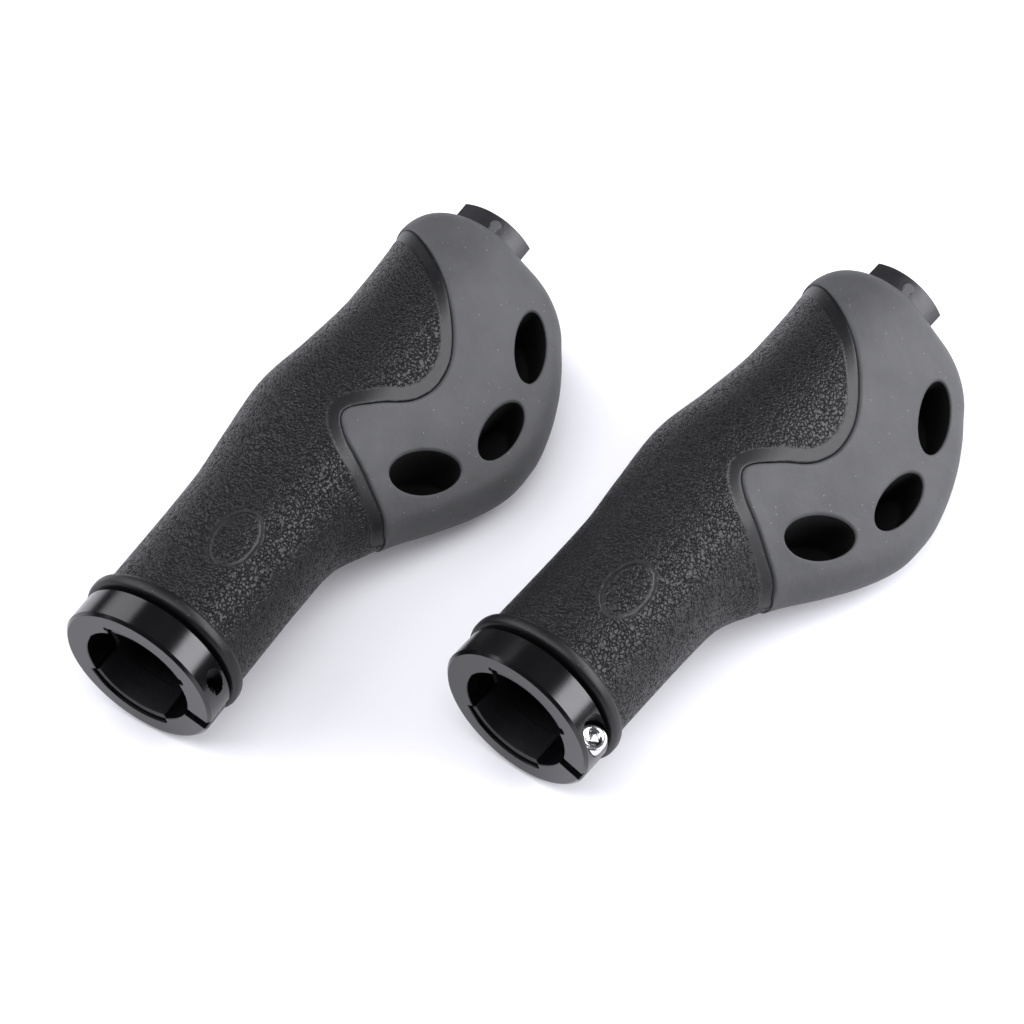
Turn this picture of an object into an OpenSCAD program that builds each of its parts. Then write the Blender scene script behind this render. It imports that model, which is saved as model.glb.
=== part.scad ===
// A pair of lock-on bicycle handlebar grips with palm rests, lying side by side on a table.
// Millimetres. Each grip is drawn in its own frame, then placed on the table:
// +X runs along the handlebar from the clamp ring's front face to the outer end,
// +Y points to the palm rest and +Z down to the table. Apart from the screw, a notch, the lug and the oval
// pockets, the grip is the same above and below Z = 0.

/* [Handlebar fit] */
// Diameter of the handlebar the grips slide over
bar_d = 22.2; // [22.2:0.1:22.6]
// Radial clearance between handlebar and core
bar_gap = 0.05; // [0.03:0.01:0.1]

/* [Core] */
// Wall of the rigid core under the rubber
core_wall = 1.25; // [1:0.05:1.35]
// Distance from the ring's front face to the outer end of the core
grip_len = 126.2; // [125:0.1:128]

/* [Clamp ring] */
// Outside diameter of the clamp ring
ring_d = 32.9; // [32.5:0.1:34]
// Width of the clamp ring along the handlebar
ring_w = 7; // [6.8:0.1:7.2]
// Radial clearance between handlebar and the open ring
ring_gap = 0.25; // [0.2:0.05:0.3]
// Gap of the ring's axial split
split_gap = 2.5; // [2:0.1:2.8]
// Depth of the two pockets that take the core's tabs
pocket_depth = 1.55; // [1.4:0.05:1.7]
// Half of the angle each pocket spans
pocket_half_angle = 45; // [42:0.5:46]

/* [Clamp screw] */
// Thread diameter
screw_d = 3; // [2.5:0.1:3]
// Length under the head
screw_len = 10; // [9:0.5:11]
// Diameter of the cylindrical head
head_d = 5.5; // [5:0.1:5.6]
// Height of the head
head_h = 3; // [2.5:0.1:3.2]
// Hexagon socket, across flats
hex_af = 2.5; // [2:0.1:2.6]

/* [Rubber] */
// Radius of the smooth flange next to the ring
flange_r = 17.2; // [17:0.1:18]
// Thickness of that flange
flange_w = 2.8; // [2.4:0.1:3]
// Where the rubber ends, measured from the ring's front face
rubber_len = 123; // [122:0.1:124]
// Level of the oval pockets' floor below the handlebar's axis
pocket_floor = 4.5; // [3:0.5:5]

/* [Placement] */
// Direction of the left grip on the table
heading_left = 56.7; // [50:0.1:60]
// Direction of the right grip on the table
heading_right = 49.6; // [45:0.1:55]
// How far the palm rests droop towards the table
droop = 20.5; // [19:0.1:22]

/* [Hidden] */
$fn = 72;
eps = 0.01;

bore_r = bar_d / 2 + bar_gap;
core_r = bore_r + core_wall;
tube_start = ring_w + 0.5;
rubber_start = tube_start + 0.1;

// Clamp ring
ring_r = ring_d / 2;
ring_bore_r = bar_d / 2 + ring_gap;
pocket_r = bore_r + pocket_depth;
ring_chamfer = 0.6;
notch_r = 0.35;

// Tabs at both ends of the core, narrower than the ring's pockets
tab_half_angle = pocket_half_angle - 3;
tab_start = 0.6;
tab_len = tube_start - tab_start;
tube_end = grip_len - tab_len;

// Clamp screw, square to the split, set off from the middle of the ring's width and of its wall
screw_offset_x = 0.4;
screw_offset_y = -0.75;
screw_x = ring_w / 2 + screw_offset_x;
screw_y = (bore_r + ring_r) / 2 + screw_offset_y;
screw_r = screw_d / 2;
seat_z = 5.2;
seat_gap = 0.05;
clear_r = screw_r + 0.1;
thread_r = screw_r + 0.05;
mouth_r = screw_r + 0.5;
mouth_z = screw_len - seat_z;
counterbore_r = head_d / 2 + 0.2;
socket_depth = 1.6;

// Sections of the grip's body. Each row is [distance along the bar, value]
// Half-width on the thumb side
thumb_rows = [[10, 15.6], [40, 15.8], [52, 17], [66, 18.2], [80, 16.4], [95, 15.1], [108, 15.4],
              [116, 16.1], [123, 17.2]];
// Reach of the palm side
palm_rows = [[10, 15.8], [38, 16.2], [44, 17], [50, 19.6], [56, 23], [64, 28.1], [72, 32.5], [80, 35.4],
             [88, 35.9], [96, 34.6], [104, 31.9], [110, 28.9], [115, 25.7], [123, 21]];
// Half-height over the handlebar
depth_rows = [[10, 15.8], [40, 16.1], [60, 16.9], [80, 16.7], [123, 16]];
// Radius of the palm side's rounded edge
edge_rows = [[10, 15.5], [44, 9.8], [70, 6.8], [95, 7], [123, 11]];
dome_len = 7.6;
body_start = rubber_start + flange_w / 2;
wall_steps = 26;
dome_steps = 7;
arc_steps = 9;
tip_steps = 6;
back_steps = 4;

// Edge between the black sleeve and the grey palm rest, seen square to the palm rest
seam_points = [[44, 26], [53.4, 20.6], [56.4, 13], [58.9, 4.6], [63.4, 0.6], [69.5, 4.4], [76.5, 9.8], [84, 11.5],
               [92, 9.1], [101, 1.2], [110.5, -10.5], [119, -19.5], [127, -27]];
seam_steps = 5;
// Corners that close the palm rest's region well clear of the body
region_corners = [[140, -26], [140, 60], [44, 60]];

// Oval pockets in the top of the palm rest: [x, y, half-length, half-width, turn]
oval_rows = [[67.4, 19.7, 8, 4, 38], [86.4, 26.5, 7.7, 3.5, -1], [106, 20.9, 8, 3.6, -27]];

// Lug of palm rest rubber that lies on one outer tab
lug_r = 1.3;
lug_h = 0.4;
lug_x = grip_len - 2.6;

// Centres of the rings' front faces on the table, with the pair centred on the origin
axis_height = flange_r;
left_pos = [-75.16, -43.35];
right_pos = [-4.96, -57.65];

// Smooth curve through a table of [x, value] rows
function slope(rows, i) =
    i == 0 ? 0
    : i == len(rows) - 1 ? (rows[i][1] - rows[i - 1][1]) / (rows[i][0] - rows[i - 1][0])
    : (rows[i][1] - rows[i - 1][1]) * (rows[i + 1][1] - rows[i][1]) <= 0 ? 0
    : (rows[i + 1][1] - rows[i - 1][1]) / (rows[i + 1][0] - rows[i - 1][0]);
function row_at(rows, x) = max([for (i = [0 : len(rows) - 2]) if (i == 0 || rows[i][0] <= x) i]);
function blend(a, b, slope_a, slope_b, gap, t) =
    (2 * t ^ 3 - 3 * t ^ 2 + 1) * a + (t ^ 3 - 2 * t ^ 2 + t) * gap * slope_a
    + (-2 * t ^ 3 + 3 * t ^ 2) * b + (t ^ 3 - t ^ 2) * gap * slope_b;
function curve(rows, x) =
    let (i = row_at(rows, x), gap = rows[i + 1][0] - rows[i][0], t = (x - rows[i][0]) / gap)
    blend(rows[i][1], rows[i + 1][1], slope(rows, i), slope(rows, i + 1), gap, t);

// Points of a smooth plan curve through a list of control points
function spline_point(p, i, t) =
    0.5 * (2 * p[i] + t * (p[i + 1] - p[i - 1])
    + t ^ 2 * (2 * p[i - 1] - 5 * p[i] + 4 * p[i + 1] - p[i + 2])
    + t ^ 3 * (3 * p[i] - p[i - 1] - 3 * p[i + 1] + p[i + 2]));
function spline(p, steps) =
    [for (i = [1 : len(p) - 3], k = [0 : steps - 1]) spline_point(p, i, k / steps)];

// The rubber's outer end closes in over the length of the dome
dome_start = rubber_len - dome_len;
function dome_inset(x) = x <= dome_start ? 0 : dome_len * (1 - sqrt(1 - ((x - dome_start) / dome_len) ^ 2));
stations = concat(
    [for (i = [0 : wall_steps]) body_start + (dome_start - body_start) * i / wall_steps],
    [for (i = [1 : dome_steps]) dome_start + dome_len * sin(90 * i / dome_steps)]);

// Outline of the body at one station: a half-ellipse to the thumb side and,
// to the palm side, a round back joined by two straight lines to the rounded edge
function outline(x) =
    let (inset = dome_inset(x),
         thumb = curve(thumb_rows, x) - inset,
         back = curve(depth_rows, x) - inset,
         edge = min(curve(edge_rows, x) - inset / 2, back - 0.3),
         reach = max(curve(palm_rows, x) - inset, back + 0.05),
         tip = reach - edge,
         turn = acos(min(1, (back - edge) / tip)))
    concat(
        [for (i = [0 : tip_steps]) let (a = turn * (2 * i / tip_steps - 1)) [tip + edge * cos(a), edge * sin(a)]],
        [for (i = [0 : back_steps]) let (a = turn + (90 - turn) * i / back_steps) back * [cos(a), sin(a)]],
        [for (i = [1 : 2 * arc_steps - 1]) let (a = 90 + 90 * i / arc_steps) [thumb * cos(a), back * sin(a)]],
        [for (i = [0 : back_steps]) let (a = 270 + (90 - turn) * i / back_steps) back * [cos(a), sin(a)]]);

module along_bar(x) {
    translate([x, 0, 0]) rotate([90, 0, 90]) children();
}

module rod(x, length, r) {
    along_bar(x) cylinder(h = length, r = r);
}

module sector(x, length, r, half_angle) {
    intersection() {
        rod(x, length, r);
        along_bar(x - eps)
            linear_extrude(length + 2 * eps)
                polygon([[0, 0], [2 * r * tan(half_angle), 2 * r], [-2 * r * tan(half_angle), 2 * r]]);
    }
}

module two_sectors(x, length, r, half_angle) {
    sector(x, length, r, half_angle);
    rotate([180, 0, 0]) sector(x, length, r, half_angle);
}

// Sculpted rubber is kept as one mesh
module one_mesh() {
    resize([0, 0, 0]) children();
}

// Skin stretched over the outlines of all stations
module body() {
    rings = [for (x = stations) outline(x)];
    count = len(rings[0]);
    last = len(rings) - 1;
    points = [for (i = [0 : last], p = rings[i]) [stations[i], p[0], p[1]]];
    walls = [for (i = [0 : last - 1], j = [0 : count - 1])
        let (k = (j + 1) % count)
        [i * count + j, (i + 1) * count + j, (i + 1) * count + k, i * count + k]];
    polyhedron(points, concat(walls,
        [[for (j = [0 : count - 1]) j]],
        [[for (j = [count - 1 : -1 : 0]) last * count + j]]), convexity = 6);
}

module palm_region() {
    translate([0, 0, -2 * ring_r])
        linear_extrude(4 * ring_r)
            polygon(concat(spline(seam_points, seam_steps), region_corners));
}

module palm_ovals() {
    for (row = oval_rows)
        translate([row[0], row[1], -2 * ring_r])
            rotate([0, 0, row[4]])
                linear_extrude(2 * ring_r + pocket_floor)
                    scale([row[2], row[3]]) circle(r = 1, $fn = 32);
}

module core() color([0.06, 0.06, 0.065]) {
    difference() {
        union() {
            rod(tube_start, tube_end - tube_start, core_r);
            two_sectors(tab_start, tab_len + 1, core_r, tab_half_angle);
            two_sectors(tube_end - 1, tab_len + 1, core_r, tab_half_angle);
        }
        rod(-1, grip_len + 2, bore_r);
    }
}

module flange() {
    half = flange_w / 2;
    along_bar(rubber_start + half) rotate_extrude() {
        translate([0, -half]) square([flange_r - half, flange_w]);
        translate([flange_r - half, 0]) circle(r = half, $fn = 24);
    }
}

// Space the core takes up inside the rubber
module core_space() {
    rod(0, tube_end, core_r);
    rod(0, grip_len, bore_r);
    two_sectors(tube_end - 1, tab_len + 2, core_r, tab_half_angle);
}

module sleeve() color([0.05, 0.05, 0.053]) one_mesh() difference() {
    union() {
        body();
        flange();
    }
    palm_region();
    core_space();
}

module palm_rest() color([0.2, 0.2, 0.21]) one_mesh() difference() {
    union() {
        intersection() {
            body();
            palm_region();
        }
        lug();
    }
    palm_ovals();
    core_space();
}

module lug() {
    neck = 0.6 * lug_r;
    top = core_r + lug_h;
    translate([lug_x, 0, -top]) cylinder(h = top, r = lug_r, $fn = 24);
    translate([rubber_len - 4, -neck, -top]) cube([lug_x - rubber_len + 4, 2 * neck, top]);
}

module ring_blank() {
    along_bar(0) rotate_extrude()
        polygon([[0, 0], [ring_r - ring_chamfer, 0], [ring_r, ring_chamfer],
                 [ring_r, ring_w - ring_chamfer], [ring_r - ring_chamfer, ring_w], [0, ring_w]]);
}

// head_side is +1 when the screw's head is on the +Z jaw and -1 when it is on the other one
module screw_axis(head_side) {
    translate([screw_x, screw_y, 0]) rotate([head_side > 0 ? 0 : 180, 0, 0]) children();
}

module ring(head_side) color([0.07, 0.07, 0.075]) {
    difference() {
        ring_blank();
        rod(-1, ring_w + 2, ring_bore_r);
        two_sectors(-1, ring_w + 2, pocket_r, pocket_half_angle);
        rotate([-90 - pocket_half_angle, 0, 0])
            translate([-1, pocket_r, 0]) rotate([0, 90, 0]) cylinder(h = ring_w + 2, r = notch_r, $fn = 24);
        translate([-1, 0, -split_gap / 2]) cube([ring_w + 2, 2 * ring_r, split_gap]);
        screw_axis(head_side) {
            cylinder(h = ring_r, r = clear_r);
            translate([0, 0, seat_z]) cylinder(h = ring_r, r = counterbore_r);
            mirror([0, 0, 1]) cylinder(h = ring_r, r = thread_r);
            mirror([0, 0, 1]) translate([0, 0, mouth_z]) cylinder(h = ring_r, r = mouth_r);
        }
    }
}

module screw(head_side) color([0.8, 0.8, 0.82]) {
    screw_axis(head_side) difference() {
        union() {
            translate([0, 0, seat_z - screw_len]) cylinder(h = screw_len + 1, r = screw_r);
            translate([0, 0, seat_z + seat_gap]) cylinder(h = head_h, r = head_d / 2);
        }
        translate([0, 0, seat_z + seat_gap + head_h - socket_depth])
            cylinder(h = socket_depth + 1, r = hex_af / sqrt(3), $fn = 6);
    }
}

// Puts a grip drawn in its own frame on the table
module place(pos, heading) {
    translate([pos[0], pos[1], axis_height])
        rotate([180 + droop, 0, heading])
            children();
}

module place_left() place(left_pos, heading_left) children();
module place_right() place(right_pos, heading_right) children();

place_left() core();  // left_core
place_left() sleeve();  // left_sleeve
place_left() palm_rest();  // left_palm_rest
place_left() ring(1);  // left_ring
place_left() screw(1);  // left_screw
place_right() core();  // right_core
place_right() sleeve();  // right_sleeve
place_right() palm_rest();  // right_palm_rest
place_right() ring(-1);  // right_ring
place_right() screw(-1);  // right_screw
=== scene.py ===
"""Looks of a pair of lock-on handlebar grips with palm rests.

Every piece is drawn in millimetres in the grip's own frame (+X along the bar from the clamp
ring's front face, +Y to the palm rest, -Z up) and then placed on the table.
"""

import math

import bmesh
import bpy
import numpy as np
from mathutils import Matrix, Vector


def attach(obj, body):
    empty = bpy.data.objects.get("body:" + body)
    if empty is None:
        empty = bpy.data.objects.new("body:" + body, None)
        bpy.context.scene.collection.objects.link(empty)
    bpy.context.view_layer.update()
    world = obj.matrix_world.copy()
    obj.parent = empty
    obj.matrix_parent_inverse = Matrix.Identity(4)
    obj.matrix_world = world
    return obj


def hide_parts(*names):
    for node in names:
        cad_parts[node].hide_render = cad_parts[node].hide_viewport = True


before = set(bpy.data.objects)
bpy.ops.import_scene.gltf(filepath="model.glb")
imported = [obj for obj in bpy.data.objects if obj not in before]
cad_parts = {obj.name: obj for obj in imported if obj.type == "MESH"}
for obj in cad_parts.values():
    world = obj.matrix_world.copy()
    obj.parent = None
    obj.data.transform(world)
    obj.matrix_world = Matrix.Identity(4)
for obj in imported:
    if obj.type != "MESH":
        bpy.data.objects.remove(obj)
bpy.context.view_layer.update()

# ---------------------------------------------------------------- sizes, in millimetres

MM = 0.001
BORE_R = 11.15
RING_BORE_R = 11.35
CORE_WALL = 1.25
CORE_R = BORE_R + CORE_WALL
GRIP_LEN = 126.2
RING_R = 16.45
RING_W = 7.0
SPLIT_GAP = 2.5
POCKET_DEPTH = 1.55
POCKET_R = BORE_R + POCKET_DEPTH
POCKET_HALF_ANGLE = 45
RING_CHAMFER = 0.6
RING_BORE_CHAMFER = 0.15
NOTCH_R = 0.35
JAW_ROUND = 0.6
LAND_ROUND = 0.4
POCKET_ROUND = 0.5
RING_GAP = 0.5
TUBE_START = RING_W + RING_GAP
TAB_START = 0.6
TAB_PLAY = 3
TAB_HALF_ANGLE = POCKET_HALF_ANGLE - TAB_PLAY
TAB_CORNER = 0.2
TAB_EDGE = 0.18
TUBE_EDGE = 0.1
TUBE_END = GRIP_LEN - (TUBE_START - TAB_START)

# The screw's axis lies a little off the middle of the ring's width and of its wall.
SCREW_SHIFT = (0.4, -0.75)
SCREW_X = RING_W / 2 + SCREW_SHIFT[0]
SCREW_Y = (BORE_R + RING_R) / 2 + SCREW_SHIFT[1]
SCREW_R = 1.5
SCREW_LEN = 10.0
SEAT_Z = 5.2
MOUTH_Z = SCREW_LEN - SEAT_Z
MOUTH_SCREW_GAP = 0.5
SEAT_GAP = 0.05
HEAD_R = 2.75
HEAD_H = 3.0
HEX_AF = 2.5
SOCKET_DEPTH = 1.6
THREAD_PITCH = 0.5
THREAD_DEPTH = 0.28
THREAD_ROWS = 6
THREAD_TO_HEAD = 0.6
TIP_TAPER = 0.35
TIP_LEN = 0.5
COUNTERBORE_R = HEAD_R + 0.2
CLEARANCE_R = SCREW_R + 0.1
THREAD_HOLE_R = SCREW_R + 0.05
GROOVE_PITCH = 0.7
GROOVE_DEPTH = 0.22

RUBBER_START = TUBE_START + 0.1
RUBBER_LEN = 123.0
FLANGE_R = 17.2
DOME_LEN = 7.6
DOME_START = RUBBER_LEN - DOME_LEN
DOME_STEPS = 20
THUMB_ROWS = [(10, 15.6), (40, 15.8), (52, 17), (66, 18.2), (80, 16.4), (95, 15.1), (108, 15.4),
              (116, 16.1), (123, 17.2)]
PALM_ROWS = [(10, 15.8), (38, 16.2), (44, 17), (50, 19.6), (56, 23), (64, 28.1), (72, 32.5),
             (80, 35.4), (88, 35.9), (96, 34.6), (104, 31.9), (110, 28.9), (115, 25.7), (123, 21)]
DEPTH_ROWS = [(10, 15.8), (40, 16.1), (60, 16.9), (80, 16.7), (123, 16)]
# The palm rest's edge stays sharper than the back, and reaches further than it.
EDGE_MARGIN = 0.3
REACH_MARGIN = 0.05
EDGE_ROWS = [(10, 15.5), (44, 9.8), (70, 6.8), (95, 7), (123, 11)]
SEAM_POINTS = [(44, 26), (53.4, 20.6), (56.4, 13), (58.9, 4.6), (63.4, 0.6), (69.5, 4.4),
               (76.5, 9.8), (84, 11.5), (92, 9.1), (101, 1.2), (110.5, -10.5), (119, -19.5), (127, -27)]
# Oval pockets in the top of the palm rest: x, y, half-length, half-width, turn in degrees
OVALS = [(67.4, 19.7, 8, 4, 38), (86.4, 26.5, 7.7, 3.5, -1), (106, 20.9, 8, 3.6, -27)]
OVAL_FLOOR = 4.5
LUG_R = 1.3
LUG_H = 0.4
LUG_X = GRIP_LEN - 2.6
LUG_MARGIN = 0.3
LUG_EDGE = 0.35
LUG_NECK = 0.75
LUG_ROOT = 3
LUG_STEPS = 36

AXIS_HEIGHT = FLANGE_R
DROOP = 20.5
PLACES = {
    "left": {"pos": (-75.16, -43.35), "heading": 56.7, "head_side": 1},
    "right": {"pos": (-4.96, -57.65), "heading": 49.6, "head_side": -1},
}


def place_matrix(side):
    """Carries a grip's own frame, in millimetres, to the table, in metres."""
    x, y = PLACES[side]["pos"]
    return (
        Matrix.Translation((x * MM, y * MM, AXIS_HEIGHT * MM))
        @ Matrix.Rotation(math.radians(PLACES[side]["heading"]), 4, "Z")
        @ Matrix.Rotation(math.radians(180 + DROOP), 4, "X")
        @ Matrix.Scale(MM, 4)
    )


# ---------------------------------------------------------------- meshes and pieces


def mesh_object(name, points, faces):
    """A mesh object from points in the grip's frame and faces."""
    mesh = bpy.data.meshes.new(name)
    mesh.from_pydata([tuple(p) for p in points], [], [tuple(int(i) for i in f) for f in faces])
    mesh.validate()
    obj = bpy.data.objects.new(name, mesh)
    bpy.context.scene.collection.objects.link(obj)
    return obj


def apply_modifiers(obj):
    """Turns what the modifiers make into the object's own mesh."""
    bpy.context.view_layer.update()
    evaluated = obj.evaluated_get(bpy.context.evaluated_depsgraph_get())
    mesh = bpy.data.meshes.new_from_object(evaluated)
    obj.modifiers.clear()
    obj.data = mesh


def smooth(obj, sharp_angle=180):
    """Smooth shading, broken where two faces meet at more than an angle."""
    obj.data.shade_smooth()
    if sharp_angle < 180:
        obj.data.set_sharp_from_angle(angle=math.radians(sharp_angle))


def weigh_normals(obj):
    """Keeps big flat faces flat beside narrow rounded edges."""
    weighted = obj.modifiers.new("weighted", "WEIGHTED_NORMAL")
    weighted.keep_sharp = True
    weighted.weight = 100
    apply_modifiers(obj)


def join(name, parts):
    """One object from several, with their points and faces side by side."""
    joined = bmesh.new()
    for part in parts:
        joined.from_mesh(part.data)
        bpy.data.objects.remove(part)
    mesh = bpy.data.meshes.new(name)
    joined.to_mesh(mesh)
    joined.free()
    obj = bpy.data.objects.new(name, mesh)
    bpy.context.scene.collection.objects.link(obj)
    return obj


def use_slots(obj, index):
    """Two empty material slots, with the slot of each face or of all of them."""
    obj.data.materials.append(None)
    obj.data.materials.append(None)
    slots = np.zeros(len(obj.data.polygons), np.int32)
    slots[:] = index
    obj.data.polygons.foreach_set("material_index", slots)


def install(obj, side, body, node, slot, *materials):
    """Places a piece on the table and ties it to the frame."""
    obj.data.transform(place_matrix(side))
    index = np.zeros(len(obj.data.polygons), np.int32)
    obj.data.polygons.foreach_get("material_index", index)
    obj.data.materials.clear()
    for material in materials:
        obj.data.materials.append(material)
    obj.data.polygons.foreach_set("material_index", index)
    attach(obj, f"{side}_{body}")
    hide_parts(f"{side}_{node}")


# ---------------------------------------------------------------- curves and outlines


def curve(rows, x):
    """Smooth curve through rows of (distance along the bar, value)."""
    at, value = np.array(rows, float).T
    rise, gap = np.diff(value), np.diff(at)
    slope = np.zeros(len(rows))
    slope[1:-1] = np.where(rise[:-1] * rise[1:] <= 0, 0, (value[2:] - value[:-2]) / (at[2:] - at[:-2]))
    slope[-1] = rise[-1] / gap[-1]
    i = int(np.clip(np.searchsorted(at, x, side="right") - 1, 0, len(gap) - 1))
    t = (x - at[i]) / gap[i]
    return (
        (2 * t**3 - 3 * t**2 + 1) * value[i]
        + (t**3 - 2 * t**2 + t) * gap[i] * slope[i]
        + (3 * t**2 - 2 * t**3) * value[i + 1]
        + (t**3 - t**2) * gap[i] * slope[i + 1]
    )


def spline(points, steps):
    """Catmull-Rom curve through the inner control points."""
    p = np.array(points, float)
    t = np.linspace(0, 1, steps, endpoint=False)[:, None]
    spans = [
        0.5 * (2 * p[i] + t * (p[i + 1] - p[i - 1])
               + t**2 * (2 * p[i - 1] - 5 * p[i] + 4 * p[i + 1] - p[i + 2])
               + t**3 * (3 * p[i] - p[i - 1] - 3 * p[i + 1] + p[i + 2]))
        for i in range(1, len(p) - 2)
    ]
    return np.vstack(spans)


def arc(start, end, count):
    """Cosines and sines of evenly spread angles, in degrees, as rows."""
    angles = np.radians(np.linspace(start, end, count))
    return np.column_stack([np.cos(angles), np.sin(angles)])


def at_angle(angle):
    """Cosine and sine of one angle, in degrees."""
    return arc(angle, angle, 1)[0]


def evenly(points, count):
    """The same open line with evenly spaced points."""
    length = np.concatenate([[0], np.cumsum(np.linalg.norm(np.diff(points, axis=0), axis=1))])
    at = np.linspace(0, length[-1], count)
    return np.column_stack([np.interp(at, length, points[:, k]) for k in range(points.shape[1])])


def dome_inset(x):
    """How far the closing outer end has drawn in at a distance along the bar."""
    if x <= DOME_START:
        return 0.0
    return DOME_LEN * (1 - math.sqrt(max(0.0, 1 - ((x - DOME_START) / DOME_LEN) ** 2)))


def half_outline(x, count):
    """Upper half of the body's outline, from the thumb side over the crest to the palm side."""
    inset = dome_inset(x)
    thumb = curve(THUMB_ROWS, x) - inset
    back = curve(DEPTH_ROWS, x) - inset
    edge = min(curve(EDGE_ROWS, x) - inset / 2, back - EDGE_MARGIN)
    reach = max(curve(PALM_ROWS, x) - inset, back + REACH_MARGIN)
    tip = reach - edge
    turn = math.degrees(math.acos(min(1, (back - edge) / tip)))
    line = np.vstack([
        arc(180, 90, 200) * (thumb, back),
        arc(90, turn, 120)[1:] * back,
        arc(turn, 0, 120) * edge + (tip, 0),
    ])
    return evenly(line, count)


# ---------------------------------------------------------------- the rubber skin

CELL = 0.65
COLUMNS = 113
SNAP = 0.02
PLACE = slice(0, 3)
NORMAL = slice(3, 6)
SEAM, OVAL, MOUTH, MARK = 6, 7, 8, 9
MOUTH_R = CORE_R + 0.05
LIP_R = 0.55
LIP_STEPS = 5
MARK_X = 27.5
MARK_HALF = (6.6, 4.0)
WALL = 1.2
ROW_GAP = 0.3
END_LIP = 0.6

# Height of the skin beside the seam: (distance from the seam towards the palm rest, height).
# The grained field stands over a smooth band, the seam is a groove and the palm rest has a raised edge.
SEAM_PROFILE = [(-3.15, 0), (-2.95, -0.14), (-0.5, -0.14), (-0.2, -0.22), (0, -0.5), (0.14, -0.16),
                (0.32, 0.1), (0.6, 0.17), (3.5, 0)]
# Rounded floor of an oval pocket: (share of the oval's size, height over the floor)
FLOOR_ROUNDING = [(0.99, 1.0), (0.95, 0.35), (0.85, 0.05), (0.6, 0.0)]
# Height beside the outline of the raised mark: (distance outside the outline, height)
MARK_PROFILE = [(-0.45, 0), (-0.25, -0.16), (0.25, -0.16), (0.45, 0)]
# Section of the flange next to the ring: (distance past the rubber's start, radius)
FLANGE_PROFILE = [(0, CORE_R + 0.1), (0, 14.5), (0, 16.3), (0.12, 16.75), (0.4, 17.05), (0.85, FLANGE_R),
                  (1.4, FLANGE_R), (1.95, FLANGE_R), (2.4, 17.05), (2.7, 16.72), (2.8, 16.3),
                  (2.86, 15.98), (3.1, 15.78)]
# The leather grain fades in over these distances: (where it starts, how far it takes).
GRAIN_AFTER_FLANGE = (RUBBER_START + 3.0, 0.6)
GRAIN_BEFORE_BAND = (3.0, 0.25)
GRAIN_ROUND_MARK = (0.4, 0.25)


def skin_rows():
    """Rows of points over the upper half of the rubber, from the ring to the outer end."""
    body_start = RUBBER_START + FLANGE_PROFILE[-1][0] + ROW_GAP
    steps = round((DOME_START - body_start) / CELL)
    xs = list(np.linspace(body_start, DOME_START, steps + 1))
    dome_angles = [math.radians(90 * i / DOME_STEPS) for i in range(1, DOME_STEPS + 1)]
    xs += [DOME_START + DOME_LEN * math.sin(angle) for angle in dome_angles]
    first = half_outline(body_start, COLUMNS + 1)
    around = first / np.linalg.norm(first, axis=1, keepdims=True)
    sections = [(RUBBER_START + x, around * r) for x, r in FLANGE_PROFILE]
    sections += [(x, half_outline(x, COLUMNS + 1)) for x in xs]
    rows = [np.column_stack([np.full(COLUMNS + 1, x), section]) for x, section in sections]
    end = rows[-1][:, 1:]
    radius = np.linalg.norm(end, axis=1, keepdims=True)
    for inner in (CORE_R + END_LIP, CORE_R - END_LIP):
        rows.append(np.column_stack([rows[-1][:, 0], end * np.minimum(1, inner / radius)]))
    rows = np.array(rows)
    rows[:, :, 2] *= -1
    return rows


def grid_normals(rows):
    """Outward normals of a grid of points that is mirrored at its first and last columns."""
    along = np.gradient(rows, axis=0)
    across = np.gradient(rows, axis=1)
    normals = np.cross(across, along)
    normals[:, (0, -1), 2] = 0
    length = np.linalg.norm(normals, axis=2, keepdims=True)
    return normals / np.maximum(length, 1e-9)


def distance_to_line(points, line):
    """Distance from each point to a polyline."""
    start, step = line[:-1], np.diff(line, axis=0)
    best = np.full(len(points), np.inf)
    for a, d in zip(start, step):
        t = np.clip((points - a) @ d / max(d @ d, 1e-12), 0, 1)
        best = np.minimum(best, np.linalg.norm(points - a - t[:, None] * d, axis=1))
    return best


def seam_on_skin():
    """The seam as a line on the upper half of the skin, and its plan curve."""
    plan = spline(SEAM_POINTS, 14)
    line = []
    for x, y in plan:
        outline = half_outline(x, 400) if x < RUBBER_LEN else half_outline(RUBBER_LEN, 400)
        if outline[0, 0] <= y <= outline[-1, 0]:
            line.append((x, y, -np.interp(y, outline[:, 0], outline[:, 1])))
    return np.array(line), plan


def oval_points(x, y, half_length, half_width, turn):
    """Closed outline of an oval in plan."""
    c, s = math.cos(math.radians(turn)), math.sin(math.radians(turn))
    points = arc(0, 360, 97) * (half_length, half_width)
    return points @ np.array([(c, s), (-s, c)]) + (x, y)


def oval_distance(points, oval):
    """Signed distance in plan from an oval's outline, above 0 outside."""
    x, y, half_length, half_width, turn = oval
    c, s = math.cos(math.radians(turn)), math.sin(math.radians(turn))
    u = (points[:, 0] - x) * c + (points[:, 1] - y) * s
    v = (points[:, 1] - y) * c - (points[:, 0] - x) * s
    outside = np.sign((u / half_length) ** 2 + (v / half_width) ** 2 - 1)
    return outside * distance_to_line(points[:, :2], oval_points(*oval))


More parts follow.
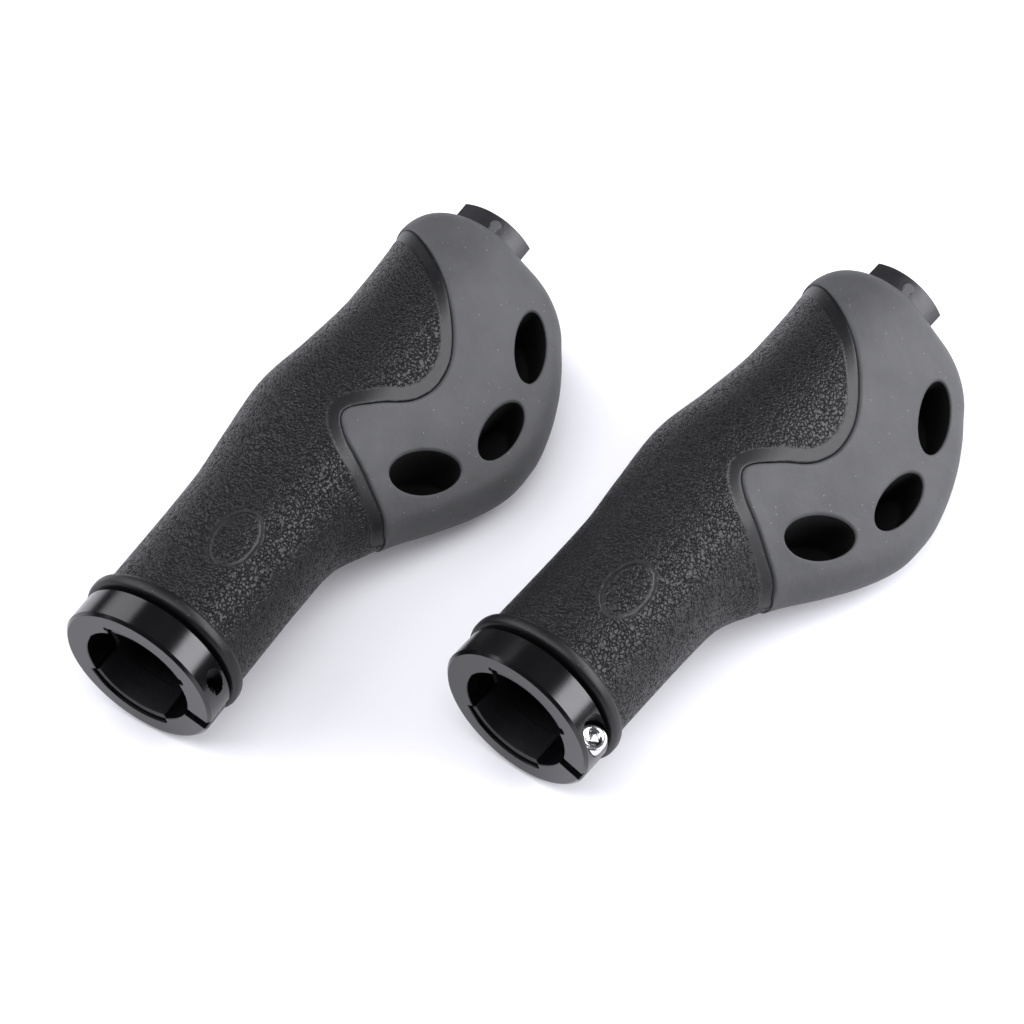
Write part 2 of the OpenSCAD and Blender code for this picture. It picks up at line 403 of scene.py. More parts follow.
def cut(data, faces, column, level):
    """Splits the triangles that cross one level of a field, so that edges run along that level."""
    near = np.abs(data[:, column] - level) < SNAP
    data[near, column] = level
    value = data[:, column] - level
    sign = np.sign(value[faces])
    crossing = (sign.min(1) < 0) & (sign.max(1) > 0)
    t, sign = faces[crossing], sign[crossing]
    first = np.argmax(sign == -sign.sum(1, keepdims=True), axis=1)
    t = t[np.arange(len(t))[:, None], (first[:, None] + np.arange(3)) % 3]
    through = value[t[:, 0]] == 0
    lone, split = t[~through], t[through]
    edges = np.sort(np.vstack([lone[:, (0, 1)], lone[:, (0, 2)], split[:, (1, 2)]]), axis=1)
    if not len(edges):
        return data, faces
    edges, index = np.unique(edges, axis=0, return_inverse=True)
    index = index.ravel() + len(data)
    share = value[edges[:, 0]] / (value[edges[:, 0]] - value[edges[:, 1]])
    added = data[edges[:, 0]] * (1 - share[:, None]) + data[edges[:, 1]] * share[:, None]
    added[:, column] = level
    p, q, r = index[: len(lone)], index[len(lone): 2 * len(lone)], index[2 * len(lone):]
    a, b, c = lone.T
    d, e, f = split.T
    faces = np.vstack([
        faces[~crossing],
        np.column_stack([a, p, q]), np.column_stack([p, b, c]), np.column_stack([p, c, q]),
        np.column_stack([d, e, r]), np.column_stack([d, r, f]),
    ])
    return np.vstack([data, added]), faces


def lip_levels():
    """Distances from an oval's edge at which its rounded lip is cut."""
    return [LIP_R * (1 - math.cos(math.radians(90 * i / LIP_STEPS))) for i in range(LIP_STEPS + 1)]


def half_skin():
    """Upper half of the rubber skin as data rows and triangles, cut along every feature line.

    The second list of triangles leaves the oval pockets open.
    """
    rows = skin_rows()
    count, width = rows.shape[:2]
    points = rows.reshape(-1, 3)
    seam_line, plan = seam_on_skin()
    data = np.zeros((len(points), 10))
    data[:, PLACE] = points
    data[:, NORMAL] = grid_normals(rows).reshape(-1, 3)
    side = np.sign(points[:, 1] - np.interp(points[:, 0], plan[:, 0], plan[:, 1]))
    side[points[:, 0] < plan[0, 0]] = -1
    data[:, SEAM] = side * distance_to_line(points, seam_line)
    data[:, OVAL] = np.min([oval_distance(points, oval) for oval in OVALS], axis=0)
    radius = np.linalg.norm(points[:, 1:], axis=1)
    data[:, MOUTH] = np.where(points[:, 0] > 100, radius - MOUTH_R, 5)
    data[:, MARK] = oval_distance(points, (MARK_X, 0, *MARK_HALF, 0))
    i, j = np.meshgrid(np.arange(count - 1), np.arange(width - 1), indexing="ij")
    a = (i * width + j).ravel()
    faces = np.vstack([
        np.column_stack([a, a + width, a + width + 1]),
        np.column_stack([a, a + width + 1, a + 1]),
    ])
    for column, levels in (
        (SEAM, [d for d, _ in SEAM_PROFILE]),
        (MARK, [d for d, _ in MARK_PROFILE]),
        (OVAL, lip_levels()),
        (MOUTH, [0]),
    ):
        for level in levels:
            data, faces = cut(data, faces, column, level)
    faces = faces[data[faces].mean(1)[:, MOUTH] > 0]
    return data, faces, faces[data[faces].mean(1)[:, OVAL] > 0]


def lower_half(data, faces, first_new):
    """The mirror image of the upper half, sharing the points on the mirror plane."""
    index = np.where(np.abs(data[:, 2]) < 1e-6, np.arange(len(data)), np.arange(len(data)) + first_new)
    mirrored = data.copy()
    mirrored[:, (2, 5)] *= -1
    return mirrored, index[faces][:, ::-1]


def shaped(data):
    """Final points: the skin raised and lowered beside the seam, on the mark and at the ovals' lips."""
    seam_at, seam_height = np.array(SEAM_PROFILE).T
    mark_at, mark_height = np.array(MARK_PROFILE).T
    height = np.interp(data[:, SEAM], seam_at, seam_height)
    on_top = data[:, 2] < 0
    height += on_top * np.interp(data[:, MARK], mark_at, mark_height)
    points = data[:, PLACE] + height[:, None] * data[:, NORMAL]
    inside_lip = np.clip(LIP_R - data[:, OVAL], 0, LIP_R)
    points[:, 2] += on_top * (LIP_R - np.sqrt(LIP_R**2 - inside_lip**2))
    return points


def border(faces):
    """Directed edges that only one of the faces uses."""
    edges = np.vstack([faces[:, (0, 1)], faces[:, (1, 2)], faces[:, (2, 0)]])
    _, index, uses = np.unique(np.sort(edges, axis=1), axis=0, return_index=True, return_counts=True)
    return edges[index[uses == 1]]


def oval_pockets(points, edges):
    """Walls and rounded floors below the lips of the oval pockets, as new points and their faces."""
    rim = np.unique(edges)
    fresh = np.full(len(points), -1)
    fresh[rim] = np.arange(len(rim))
    centres = np.array([oval[:2] for oval in OVALS])
    nearest = np.argmin(np.linalg.norm(points[rim, None, :2] - centres, axis=2), axis=1)
    middle = centres[nearest]
    outward = points[rim, :2] - middle
    rings = [
        np.column_stack([middle + outward * scale, np.full(len(rim), OVAL_FLOOR - rise)])
        for scale, rise in FLOOR_ROUNDING
    ]
    added = np.vstack([*rings, np.column_stack([centres, np.full(len(centres), OVAL_FLOOR)])])
    start = len(points)
    upper = (edges[:, 0], edges[:, 1])
    faces = []
    for k in range(len(rings)):
        lower = tuple(start + k * len(rim) + fresh[edges[:, side]] for side in (0, 1))
        faces += list(np.column_stack([upper[1], upper[0], lower[0], lower[1]]))
        upper = lower
    hub = start + len(rings) * len(rim) + nearest[fresh[edges[:, 0]]]
    faces += list(np.column_stack([upper[1], upper[0], hub]))
    return added, faces


def skin_part(name, data, points, faces):
    """A piece of the skin: its surface, its oval pockets and a short wall inwards at its border."""
    used = np.unique(faces)
    fresh = np.full(len(data), -1)
    fresh[used] = np.arange(len(used))
    data, points, faces = data[used], points[used], fresh[faces]
    edges = border(faces)
    at_oval = (np.abs(data[edges, OVAL]) < 1e-6).all(1) & (points[edges, 2] < 0).all(1)
    rim = edges[~at_oval]
    everything = np.vstack([points, points - WALL * data[:, NORMAL]])
    walls = np.column_stack([rim[:, 1], rim[:, 0], rim[:, 0] + len(points), rim[:, 1] + len(points)])
    pocket_faces = []
    if at_oval.any():
        pocket_points, pocket_faces = oval_pockets(everything, edges[at_oval])
        everything = np.vstack([everything, pocket_points])
    obj = mesh_object(name, everything, [*faces, *walls, *pocket_faces])
    inside_oval = np.zeros(len(obj.data.polygons), np.int32)
    inside_oval[len(faces) + len(walls):] = 1
    strength = np.zeros(len(everything), np.float32)
    strength[: 2 * len(points)] = np.tile(grain_amount(data), 2)
    obj.data.attributes.new("grain", "FLOAT", "POINT").data.foreach_set("value", strength)
    use_slots(obj, inside_oval)
    clean = bmesh.new()
    clean.from_mesh(obj.data)
    bmesh.ops.delete(clean, geom=[v for v in clean.verts if not v.link_faces], context="VERTS")
    clean.to_mesh(obj.data)
    clean.free()
    smooth(obj)
    return obj


def fade_in(distance, start, length):
    """Straight rise from 0 to 1 over a length."""
    return np.clip((distance - start) / length, 0, 1)


def grain_amount(data):
    """How strongly the leather grain shows at each point: none on the flange, the band and the mark."""
    after_flange = fade_in(data[:, 0], *GRAIN_AFTER_FLANGE)
    before_band = fade_in(-data[:, SEAM], *GRAIN_BEFORE_BAND)
    outside_mark = np.where(data[:, 2] < 0, fade_in(np.abs(data[:, MARK]), *GRAIN_ROUND_MARK), 1)
    return after_flange * before_band * outside_mark


def build_skin():
    """Data, points and faces of the whole skin, and which faces belong to the palm rest."""
    data, closed, opened = half_skin()
    lower, lower_faces = lower_half(data, closed, len(data))
    data = np.vstack([data, lower])
    faces = np.vstack([opened, lower_faces])
    palm = data[faces].mean(1)[:, SEAM] > 0
    return data, shaped(data), faces, palm


# ---------------------------------------------------------------- turned and extruded parts

SHARP_ANGLE = 40
RING_SHARP_ANGLE = 38


def tube_faces(rows, columns):
    """Faces of a tube of points laid out row by row, with a flat cap at each end."""
    faces = []
    for i in range(rows - 1):
        here, there = i * columns, (i + 1) * columns
        for j in range(columns):
            k = (j + 1) % columns
            faces.append((here + j, here + k, there + k, there + j))
    faces.append(tuple(range(columns - 1, -1, -1)))
    faces.append(tuple((rows - 1) * columns + j for j in range(columns)))
    return faces


def lathe(name, profile, columns=64):
    """A closed turned part about +X from (x, radius) pairs; a radius may be a function of the angle."""
    angles = np.linspace(0, 2 * math.pi, columns, endpoint=False)
    points = []
    for x, radius in profile:
        r = radius(angles) if callable(radius) else np.full(columns, float(radius))
        points.append(np.column_stack([np.full(columns, x), r * np.cos(angles), r * np.sin(angles)]))
    return mesh_object(name, np.vstack(points), tube_faces(len(profile), columns))


def inward(outline):
    """Mitred normals pointing into a closed outline that runs anticlockwise."""
    step = np.roll(outline, -1, axis=0) - outline
    step /= np.linalg.norm(step, axis=1, keepdims=True)
    after = np.column_stack([-step[:, 1], step[:, 0]])
    before = np.roll(after, 1, axis=0)
    return (after + before) / (1 + (after * before).sum(1))[:, None]


def extrusion(name, outline, start, end, edge_radius, steps=3):
    """A bar along +X with the given section, with edges rounded in a few steps at both ends."""
    towards = inward(outline)
    radius = np.broadcast_to(edge_radius, len(outline))
    layers = []
    for angle in np.linspace(0, 90, steps + 1):
        depth = radius * (1 - math.sin(math.radians(angle)))
        rise = radius * (1 - math.cos(math.radians(angle)))
        layers.append((start + rise, outline + towards * depth[:, None]))
    layers += [(start + end - x, section) for x, section in reversed(layers)]
    points = np.vstack([np.column_stack([x, section]) for x, section in layers])
    return mesh_object(name, points, tube_faces(len(layers), len(outline)))


def sector_outline(centre, half_angle, inner, outer, corner):
    """Section of a tab: a piece of a tube with rounded corners."""
    a = math.degrees(corner / outer)
    low, high = centre - half_angle, centre + half_angle
    return np.vstack([
        arc(low + a, high - a, 40) * outer,
        at_angle(high) * (outer - corner),
        at_angle(high) * (inner + corner),
        arc(high - a, low + a, 40) * inner,
        at_angle(low) * (inner + corner),
        at_angle(low) * (outer - corner),
    ])


def core_piece(name):
    """Rigid core: a tube with two tabs at each end."""
    parts = [lathe(f"{name}_tube", [
        (TUBE_START, BORE_R), (TUBE_START, CORE_R - TUBE_EDGE), (TUBE_START + TUBE_EDGE, CORE_R),
        (TUBE_END - TUBE_EDGE, CORE_R), (TUBE_END, CORE_R - TUBE_EDGE), (TUBE_END, BORE_R),
    ], 96)]
    bridge_tube_bore(parts[0])
    for centre in (90, 270):
        outline = sector_outline(centre, TAB_HALF_ANGLE, BORE_R, CORE_R, TAB_CORNER)
        parts.append(extrusion(f"{name}_tab", outline, TAB_START, TUBE_START, TAB_EDGE))
        parts.append(extrusion(f"{name}_tab", outline, TUBE_END, GRIP_LEN, TAB_EDGE))
    obj = join(name, parts)
    smooth(obj, SHARP_ANGLE)
    weigh_normals(obj)
    return obj


def bridge_tube_bore(obj):
    """Replaces a turned part's two end caps by the wall of its bore."""
    mesh = bmesh.new()
    mesh.from_mesh(obj.data)
    caps = sorted(mesh.faces, key=lambda f: len(f.verts))[-2:]
    loops = [e for f in caps for e in f.edges]
    bmesh.ops.delete(mesh, geom=caps, context="FACES_ONLY")
    bmesh.ops.bridge_loops(mesh, edges=loops)
    bmesh.ops.recalc_face_normals(mesh, faces=mesh.faces)
    mesh.to_mesh(obj.data)
    mesh.free()


def bend(start, corner, end, steps=6):
    """Points that round a corner off between two points."""
    t = np.linspace(0, 1, steps)[:, None]
    return (1 - t) ** 2 * start + 2 * t * (1 - t) * corner + t**2 * end


def ring_outline():
    """Section of the clamp ring, anticlockwise: outer arc, split, and the bore with its two pockets."""
    outer_gap = math.degrees(math.asin(SPLIT_GAP / 2 / RING_R))
    bore_gap = math.degrees(math.asin(SPLIT_GAP / 2 / RING_BORE_R))
    low, high = 90 - POCKET_HALF_ANGLE, 90 + POCKET_HALF_ANGLE
    # Each arc: radius, first and last angle, how far its two ends are rounded off
    arcs = [
        (RING_R, outer_gap, 360 - outer_gap, JAW_ROUND),
        (RING_BORE_R, 360 - bore_gap, 360 - low, LAND_ROUND),
        (POCKET_R, 360 - low, 360 - high, POCKET_ROUND),
        (RING_BORE_R, 360 - high, high, LAND_ROUND),
        (POCKET_R, high, low, POCKET_ROUND),
        (RING_BORE_R, low, bore_gap, LAND_ROUND),
    ]
    notch_corner = at_angle(-high) * POCKET_R
    notch = arc(-high + 90, -high - 180, 14) * NOTCH_R + notch_corner
    line = []
    for this, after in zip(arcs, arcs[1:] + arcs[:1]):
        radius, first, last, cut_back = this
        trim = math.copysign(math.degrees(cut_back / radius), last - first)
        body = arc(first + trim, last - trim, 140 if radius == RING_R else 30) * radius
        corner = at_angle(last) * radius
        next_radius, next_first, next_last, next_cut_back = after
        next_corner = at_angle(next_first) * next_radius
        next_trim = math.copysign(math.degrees(next_cut_back / next_radius), next_last - next_first)
        next_start = at_angle(next_first + next_trim) * next_radius
        along = (next_corner - corner) / np.linalg.norm(next_corner - corner)
        at_notch = np.linalg.norm(corner - notch_corner) < NOTCH_R
        turn = notch if at_notch else bend(body[-1], corner, corner + along * cut_back)[1:]
        line += [body, turn, bend(next_corner - along * next_cut_back, next_corner, next_start)[:-1]]
    return np.vstack(line)


def screw_frame(head_side):
    """Carries the screw's axis, with +X towards its head, into the ring."""
    turn = Matrix.Rotation(math.radians(-90 * head_side), 4, "Y")
    return Matrix.Translation((SCREW_X, SCREW_Y, 0)) @ turn


def mouth_profile():
    """Grooved wall of the screw hole's mouth, from outside the ring to the screw's end."""
    radius = SCREW_R + MOUTH_SCREW_GAP
    grooves = np.arange(-RING_R, -MOUTH_Z - 0.01, GROOVE_PITCH / 2)
    profile = [(x, radius - GROOVE_DEPTH * (k % 2)) for k, x in enumerate(grooves)]
    return [(-2 * RING_R, radius), *profile, (-MOUTH_Z, radius)]


def ring_piece(name, head_side):
    """Split clamp ring with the screw's counterbore, clearance hole and grooved mouth."""
    outline = ring_outline()
    distance = np.linalg.norm(outline, axis=1)
    bevel = np.interp(distance, [RING_R - JAW_ROUND, RING_R], [RING_BORE_CHAMFER, RING_CHAMFER])
    obj = extrusion(name, outline, 0, RING_W, bevel, 1)
    cutters = [
        lathe("cutter_bore", [(0, CLEARANCE_R), (SEAT_Z + 0.1, CLEARANCE_R)], 48),
        lathe("cutter_seat", [(SEAT_Z, COUNTERBORE_R), (2 * RING_R, COUNTERBORE_R)], 72),
        lathe("cutter_thread", [(-2 * RING_R, THREAD_HOLE_R), (0.05, THREAD_HOLE_R)], 48),
        lathe("cutter_mouth", mouth_profile(), 48),
    ]
    use_slots(obj, 0)
    for cutter in cutters:
        cutter.data.transform(screw_frame(head_side))
        use_slots(cutter, 1)
        hole = obj.modifiers.new("hole", "BOOLEAN")
        hole.operation = "DIFFERENCE"
        hole.solver = "EXACT"
        hole.object = cutter
    apply_modifiers(obj)
    for cutter in cutters:
        bpy.data.objects.remove(cutter)
    smooth(obj, RING_SHARP_ANGLE)
    weigh_normals(obj)
    return obj


def hexagon(across_flats):
    """Radius of a hexagon as a function of the angle."""
    sixth = math.pi / 3
    return lambda a: across_flats / 2 / np.cos((a + sixth / 2) % sixth - sixth / 2)


def thread_wave(turns):
    """Depth of a V thread as a share of the whole: 1 in the groove, 0 on the crest."""
    return np.abs(2 * (turns % 1) - 1)


def screw_piece(name, head_side):
    """Socket head cap screw, with its thread."""
    seat = SEAT_Z + SEAT_GAP
    top = seat + HEAD_H
    end = SEAT_Z - SCREW_LEN
    thread_end = seat - THREAD_TO_HEAD
    threads = round((thread_end - end) / THREAD_PITCH)

    def thread_radius(x):
        fade = min(1, max(0, (x - end) / TIP_LEN))
        crest = SCREW_R - TIP_TAPER * (1 - fade)
        return lambda a: crest - fade * THREAD_DEPTH * thread_wave(x / THREAD_PITCH - a / (2 * math.pi))

    profile = [(end, SCREW_R - 0.6)]
    thread_xs = np.linspace(end + 0.02, thread_end, threads * THREAD_ROWS)
    profile += [(x, thread_radius(x)) for x in thread_xs]
    profile += [(seat - 0.4, SCREW_R), (seat, SCREW_R), (seat, HEAD_R - 0.15), (seat + 0.12, HEAD_R),
                (top - 0.45, HEAD_R), (top - 0.2, HEAD_R - 0.09), (top - 0.04, HEAD_R - 0.3),
                (top, HEAD_R - 0.5), (top - 0.03, HEX_AF / 2 + 0.55), (top - 0.15, HEX_AF / 2 + 0.36),
                (top - 0.35, hexagon(HEX_AF)), (top - SOCKET_DEPTH, hexagon(HEX_AF)),
                (top - SOCKET_DEPTH - 0.05, HEX_AF / 2 - 0.1), (top - SOCKET_DEPTH - 0.5, 0.1)]
    obj = lathe(name, profile, 48)
    obj.data.transform(screw_frame(head_side))
    smooth(obj, SHARP_ANGLE)
    return obj


# ---------------------------------------------------------------- materials

GRAIN_SCALE = 1.2


class Shader:
    """Short way to add and link the nodes of one material."""

    def __init__(self, name):
        self.material = bpy.data.materials.new(name)
        self.material.use_nodes = True
        self.nodes = self.material.node_tree.nodes
        self.links = self.material.node_tree.links
        self.surface = self.nodes["Principled BSDF"]

    def feed(self, socket, value):
        """Links another node's output to a socket, or gives the socket a constant."""
        if isinstance(value, bpy.types.NodeSocket):
            self.links.new(value, socket)
        else:
            socket.default_value = value

    def set(self, node, **inputs):
        for key, value in inputs.items():
            self.feed(node.inputs[key.replace("_", " ")], value)
        return node

    def add(self, kind, settings=None, **inputs):
        node = self.nodes.new(kind)
        for key, value in (settings or {}).items():
            setattr(node, key, value)
        return self.set(node, **inputs)

    def millimetres(self):
        """Position on the object in millimetres."""
        place = self.add("ShaderNodeTexCoord").outputs["Object"]
        scale = self.add("ShaderNodeVectorMath", {"operation": "SCALE"}, Vector=place, Scale=1 / MM)
        return scale.outputs["Vector"]

    def math(self, operation, a, b=0.0, c=0.0):
        node = self.nodes.new("ShaderNodeMath")
        node.operation = operation
        for socket, value in zip(node.inputs, (a, b, c)):
            self.feed(socket, value)
        return node.outputs["Value"]

    def noise(self, place, scale, detail=2.0, roughness=0.5):
        node = self.add("ShaderNodeTexNoise", Vector=place, Scale=scale, Detail=detail,
                        Roughness=roughness)
        return node.outputs["Fac"]

    def ramp(self, value, low, high):
        """Straight map from 0..1 to low..high."""
        node = self.add("ShaderNodeMapRange", Value=value, To_Min=low, To_Max=high)
        return node.outputs["Result"]

    def step(self, value, low, high):
        """Smooth rise from 0 to 1 between two values."""
        node = self.add("ShaderNodeMapRange", {"interpolation_type": "SMOOTHSTEP"}, Value=value,
                        From_Min=low, From_Max=high)
        return node.outputs["Result"]

    def mix(self, share, first, second):
        """Mix of two colours, each one a socket or three numbers."""
        node = self.add("ShaderNodeMix", {"data_type": "RGBA"})
        self.feed(node.inputs[0], share)
        for socket, colour in ((node.inputs[6], first), (node.inputs[7], second)):
            self.feed(socket, (*colour, 1) if isinstance(colour, tuple) else colour)
        return node.outputs[2]

    def specks(self, place, scale, size, chance):
        """Scattered dots, 1 inside and 0 outside, in the cells whose random value is above chance."""
        cells = self.add("ShaderNodeTexVoronoi", Vector=place, Scale=scale)
        dot = self.math("SUBTRACT", 1.0, self.step(cells.outputs["Distance"], size * 0.5, size))
        pick = self.add("ShaderNodeSeparateColor", Color=cells.outputs["Color"]).outputs["Red"]
        return self.math("MULTIPLY", dot, self.math("GREATER_THAN", pick, chance))

    def bump(self, height, distance, normal=None):
        """Relief from a height in millimetres."""
        node = self.add("ShaderNodeBump", Height=height, Distance=distance * MM, Strength=1.0)
        if normal is not None:
            self.links.new(normal, node.inputs["Normal"])
        return node.outputs["Normal"]

    def surfaced(self, specular=0.5, **inputs):
        """The material, its surface fed and its specular level set as a constant on the socket."""
        self.surface.inputs["Specular IOR Level"].default_value = specular
        self.set(self.surface, **inputs)
        return self.material


def sleeve_material():
    """Black rubber with a moulded leather grain: pebbles parted by thin, wandering creases, which are
    painted near black in the base colour as painted shade.
    """
    s = Shader("sleeve_rubber")
    place = s.millimetres()
    wander = s.add("ShaderNodeTexNoise", Vector=place, Scale=1.3, Detail=1.0).outputs["Color"]
    shift = s.add("ShaderNodeVectorMath", {"operation": "MULTIPLY_ADD"}, Vector=wander)
    shift.inputs[1].default_value = (0.9, 0.9, 0.9)
    s.links.new(place, shift.inputs[2])
    edge = s.add("ShaderNodeTexVoronoi", {"feature": "DISTANCE_TO_EDGE"},
                 Vector=shift.outputs["Vector"], Scale=GRAIN_SCALE).outputs["Distance"]
    healed = s.step(s.noise(place, 0.9, 1.0), 0.56, 0.72)
    gap = s.math("MULTIPLY_ADD", healed, 0.3, edge)
    amount = s.add("ShaderNodeAttribute", {"attribute_name": "grain"}).outputs["Fac"]
    crease = s.math("MULTIPLY", s.math("SUBTRACT", 1.0, s.step(gap, 0.02, 0.12)), amount)
    dome = s.math("MULTIPLY_ADD", s.step(gap, 0.0, 0.16), 1.2, s.step(gap, 0.0, 0.4))
    normal = s.bump(s.math("MULTIPLY", dome, amount), 0.068)
    micro = s.bump(s.noise(place, 3.0, 3.0, 0.6), 0.02, normal)
    tone = s.mix(s.noise(place, 0.25, 3.0), (0.0028, 0.0028, 0.0031), (0.005, 0.0049, 0.0055))
    # Painted shade: the creases are painted near black in the base colour.
    painted_crease_shade = s.mix(crease, tone, (0.0005, 0.0005, 0.0005))
    dusty = s.mix(s.specks(place, 1.1, 0.13, 0.7), painted_crease_shade, (0.1, 0.1, 0.105))
    matt = s.math("MULTIPLY_ADD", amount, -0.05, s.ramp(s.noise(place, 0.8, 3.0), 0.39, 0.47))
    rough = s.math("MULTIPLY_ADD", crease, 0.6, matt)
    return s.surfaced(0.35, Base_Color=dusty, Roughness=rough, Normal=micro)


def palm_material():
    """Matte grey rubber, mottled and speckled."""
    s = Shader("palm_rubber")
    place = s.millimetres()
    cloud = s.noise(place, 0.12, 4.0, 0.55)
    fleck = s.noise(place, 3.0, 2.0, 0.7)
    tone = s.math("MULTIPLY_ADD", fleck, 0.35, s.math("MULTIPLY", cloud, 0.8))
    normal = s.bump(s.noise(place, 7.0, 3.0, 0.65), 0.03)
    soft = s.bump(s.noise(place, 0.5, 2.0), 0.12, normal)
    base = s.mix(tone, (0.035, 0.0355, 0.0365), (0.08, 0.081, 0.083))
    dusty = s.mix(s.specks(place, 0.9, 0.13, 0.8), base, (0.2, 0.2, 0.21))
    return s.surfaced(0.34, Base_Color=dusty, Roughness=s.ramp(fleck, 0.5, 0.68), Normal=soft)


def oval_material():
    """Black rubber inside the palm rest's ovals, dull and streaked by the mould."""
    s = Shader("oval_rubber")
    place = s.millimetres()
    streak = s.noise(place, 0.9, 3.0, 0.6)
    base = s.mix(streak, (0.004, 0.004, 0.0045), (0.011, 0.011, 0.0115))
    return s.surfaced(0.15, Base_Color=base, Roughness=s.ramp(streak, 0.7, 0.85),
                      Normal=s.bump(streak, 0.05))


def core_material():
    """Black moulded plastic with faint flow marks."""
    s = Shader("core_plastic")
    place = s.millimetres()
    flow = s.noise(place, 0.8, 4.0, 0.6)
    normal = s.bump(s.noise(place, 1.6, 4.0, 0.65), 0.06)
    base = s.mix(flow, (0.006, 0.006, 0.007), (0.012, 0.012, 0.014))
    return s.surfaced(Base_Color=base, Roughness=s.ramp(flow, 0.32, 0.5), Normal=normal)


def ring_material():
    """Black anodised aluminium, turned, with faint blotches and a fine blasted roughness."""
    s = Shader("ring_anodised")
    place = s.millimetres()
    cloud = s.noise(place, 0.5, 3.0)
    blast = s.noise(place, 9.0, 2.0, 0.6)
    base = s.mix(cloud, (0.0015, 0.0015, 0.002), (0.0035, 0.0035, 0.004))
    return s.surfaced(0.52, Base_Color=base, Roughness=s.ramp(blast, 0.13, 0.2),
                      Normal=s.bump(blast, 0.006))


def bored_material():
    """Dull black walls of the ring's screw hole."""
    s = Shader("ring_bored")
    place = s.millimetres()
    chatter = s.noise(place, 4.0, 3.0, 0.6)
    base = s.mix(chatter, (0.001, 0.001, 0.001), (0.003, 0.003, 0.003))
    return s.surfaced(0.15, Base_Color=base, Roughness=s.ramp(chatter, 0.35, 0.5),
                      Normal=s.bump(chatter, 0.03))


def screw_material():
    """Bright chrome with fine tool marks."""
    s = Shader("screw_chrome")
    place = s.millimetres()
    marks = s.noise(place, 6.0, 3.0, 0.6)
    base = s.mix(marks, (0.72, 0.72, 0.74), (0.85, 0.85, 0.87))
    return s.surfaced(Base_Color=base, Roughness=s.ramp(marks, 0.1, 0.22), Normal=s.bump(marks, 0.015),
                      Metallic=1.0)


# ---------------------------------------------------------------- the lug on the outer tab


def lug_piece(name):
    """Tongue of palm rest rubber that lies on the upper outer tab."""
    half = LUG_R + LUG_MARGIN
    points = []
    for x in np.linspace(RUBBER_LEN - LUG_ROOT, LUG_X + half, LUG_STEPS):
        for w in np.linspace(-half, half, LUG_STEPS):
            disc = LUG_R - math.hypot(x - LUG_X, w)
            neck = min(LUG_NECK * LUG_R - abs(w), LUG_X - x)
            rise = min(1.0, max(disc, neck, -0.5) / LUG_EDGE)
            height = LUG_H * math.sin(math.radians(90 * rise)) if rise > 0 else 0.6 * rise
            angle = -math.pi / 2 + w / CORE_R
            r = CORE_R + height
            points.append((x, r * math.cos(angle), r * math.sin(angle)))
    faces = []
    for i in range(LUG_STEPS - 1):
        for j in range(LUG_STEPS - 1):
            a = i * LUG_STEPS + j
            faces.append((a, a + 1, a + LUG_STEPS + 1, a + LUG_STEPS))
    obj = mesh_object(name, points, faces)
    smooth(obj)
    return obj


# ---------------------------------------------------------------- the two grips


def build_grip(side, skin, materials):
    """One grip: every piece made, placed and tied to its body, with the imported part of its node
    hidden.
    """
    data, points, faces, palm = skin
    head_side = PLACES[side]["head_side"]
    sleeve = skin_part(f"{side}_sleeve_skin", data, points, faces[~palm])
    rest = skin_part(f"{side}_palm_skin", data, points, faces[palm])
    lug = lug_piece(f"{side}_lug")
    core = core_piece(f"{side}_core_tube")
    ring = ring_piece(f"{side}_clamp_ring", head_side)
    screw = screw_piece(f"{side}_clamp_screw", head_side)
    install(sleeve, side, "grip", "sleeve", "sleeve_rubber", materials["sleeve"])
    install(rest, side, "grip", "palm_rest", "palm_rubber", materials["palm"], materials["oval"])
    install(lug, side, "grip", "palm_rest", "palm_rubber", materials["palm"])
    install(core, side, "grip", "core", "core_plastic", materials["core"])
    install(ring, side, "ring_body", "ring", "ring_anodised", materials["ring"], materials["bored"])
    install(screw, side, "screw_body", "screw", "screw_chrome", materials["screw"])


# ---------------------------------------------------------------- camera, lights and floor


LIGHT_TINT = (0.95, 0.95, 1.0)
# Painted light on the floor: the glow near the grips, and the distances over which that glow fades and
# the paper is painted darker.
FLOOR_PAINTED_GLOW = 0.12
PAINTED_LIGHT_FADE = (165, 450)
FLOOR_HALF = 3.0
SKY_STRENGTH = 0.1
CAMERA_TARGET = Vector((-3.47, -8.685, 17.03)) * MM
CAMERA_POSITION = Vector((-3.47, -349.1, 442.9)) * MM
CAMERA_LENS = 98.44
CAMERA_ROLL = -3.073


def build_camera():
    """Camera in front of the table that looks down on both grips."""
    down = CAMERA_POSITION - CAMERA_TARGET
    elevation = math.atan2(down.z, -down.y)
    camera = bpy.data.cameras.new("camera")
    camera.sensor_width = 36
    camera.lens = CAMERA_LENS
    camera.clip_start = 0.01
    obj = bpy.data.objects.new("camera", camera)
    obj.matrix_world = (
        Matrix.Translation(CAMERA_POSITION)
        @ Matrix.Rotation(math.pi / 2 - elevation, 4, "X")
        @ Matrix.Rotation(math.radians(CAMERA_ROLL), 4, "Z")
    )
    bpy.context.scene.collection.objects.link(obj)
    bpy.context.scene.camera = obj


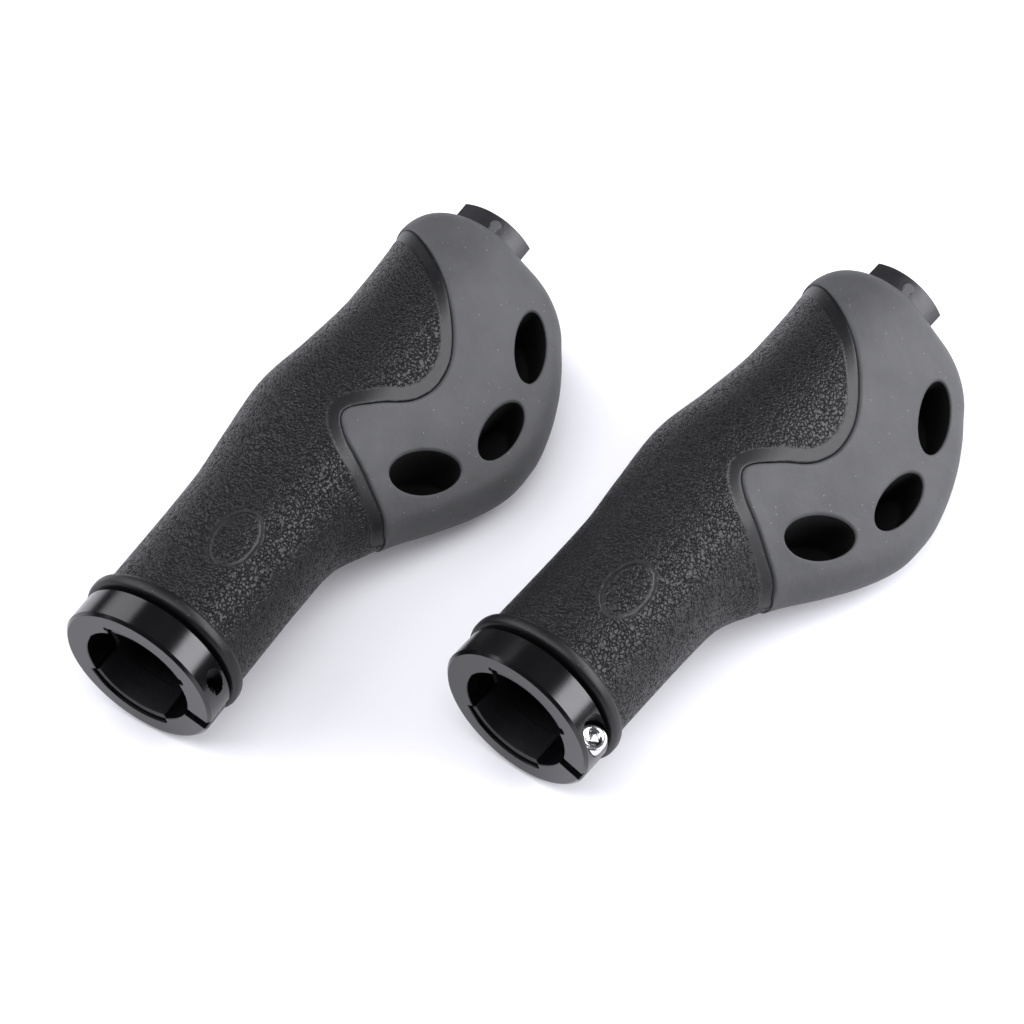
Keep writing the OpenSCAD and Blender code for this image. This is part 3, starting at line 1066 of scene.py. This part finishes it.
def softbox(name, azimuth, elevation, distance, size, radiance):
    """An area light that faces the table's centre; azimuth 0 is along +X."""
    width, height = size
    light = bpy.data.lights.new(name, "AREA")
    light.shape = "RECTANGLE"
    light.size, light.size_y = width, height
    light.color = LIGHT_TINT
    light.energy = radiance * math.pi * width * height
    obj = bpy.data.objects.new(name, light)
    turn, rise = math.radians(azimuth), math.radians(elevation)
    towards = Vector((math.cos(turn) * math.cos(rise), math.sin(turn) * math.cos(rise), math.sin(rise)))
    obj.location = towards * distance
    obj.rotation_euler = towards.to_track_quat("Z", "Y").to_euler()
    bpy.context.scene.collection.objects.link(obj)


def build_floor():
    """White paper with a painted pool of light: a painted glow round the grips lightens their shadows,
    and the paper is painted darker further out as painted shade.
    """
    half = FLOOR_HALF
    corners = [(-half, -half, 0), (half, -half, 0), (half, half, 0), (-half, half, 0)]
    floor = mesh_object("floor", corners, [(0, 1, 2, 3)])
    s = Shader("floor_paper")
    place = s.millimetres()
    reach = s.add("ShaderNodeVectorMath", {"operation": "LENGTH"}, Vector=place).outputs["Value"]
    painted_light_falloff = s.step(reach, *PAINTED_LIGHT_FADE)
    paper = s.mix(s.noise(place, 0.05, 2.0), (0.85, 0.85, 0.87), (0.87, 0.87, 0.89))
    # Painted shade: the paper is painted darker far from the grips, and a painted glow near them
    # lightens their shadows.
    base = s.mix(painted_light_falloff, paper, (0.45, 0.45, 0.46))
    painted_glow = s.ramp(painted_light_falloff, FLOOR_PAINTED_GLOW, 0.0)
    floor.data.materials.append(s.surfaced(0.1, Base_Color=base, Roughness=0.8,
                                           Emission_Color=(*LIGHT_TINT, 1), Emission_Strength=painted_glow))


def build_light():
    """A dim sky and three soft boxes."""
    world = bpy.data.worlds.new("world")
    world.use_nodes = True
    background = world.node_tree.nodes["Background"]
    background.inputs["Color"].default_value = (*LIGHT_TINT, 1)
    background.inputs["Strength"].default_value = SKY_STRENGTH
    bpy.context.scene.world = world
    softbox("right_box", 0, 27, 0.75, (0.9, 0.45), 7.5)
    softbox("left_box", 158, 42, 1.0, (1.3, 0.9), 3)
    softbox("top_box", -110, 80, 1.1, (0.9, 0.8), 3.5)
    bpy.context.scene.view_settings.view_transform = "Standard"


# ---------------------------------------------------------------- build

materials = {
    "sleeve": sleeve_material(),
    "palm": palm_material(),
    "oval": oval_material(),
    "core": core_material(),
    "ring": ring_material(),
    "bored": bored_material(),
    "screw": screw_material(),
}
skin = build_skin()
for side in PLACES:
    build_grip(side, skin, materials)
build_camera()
build_floor()
build_light()
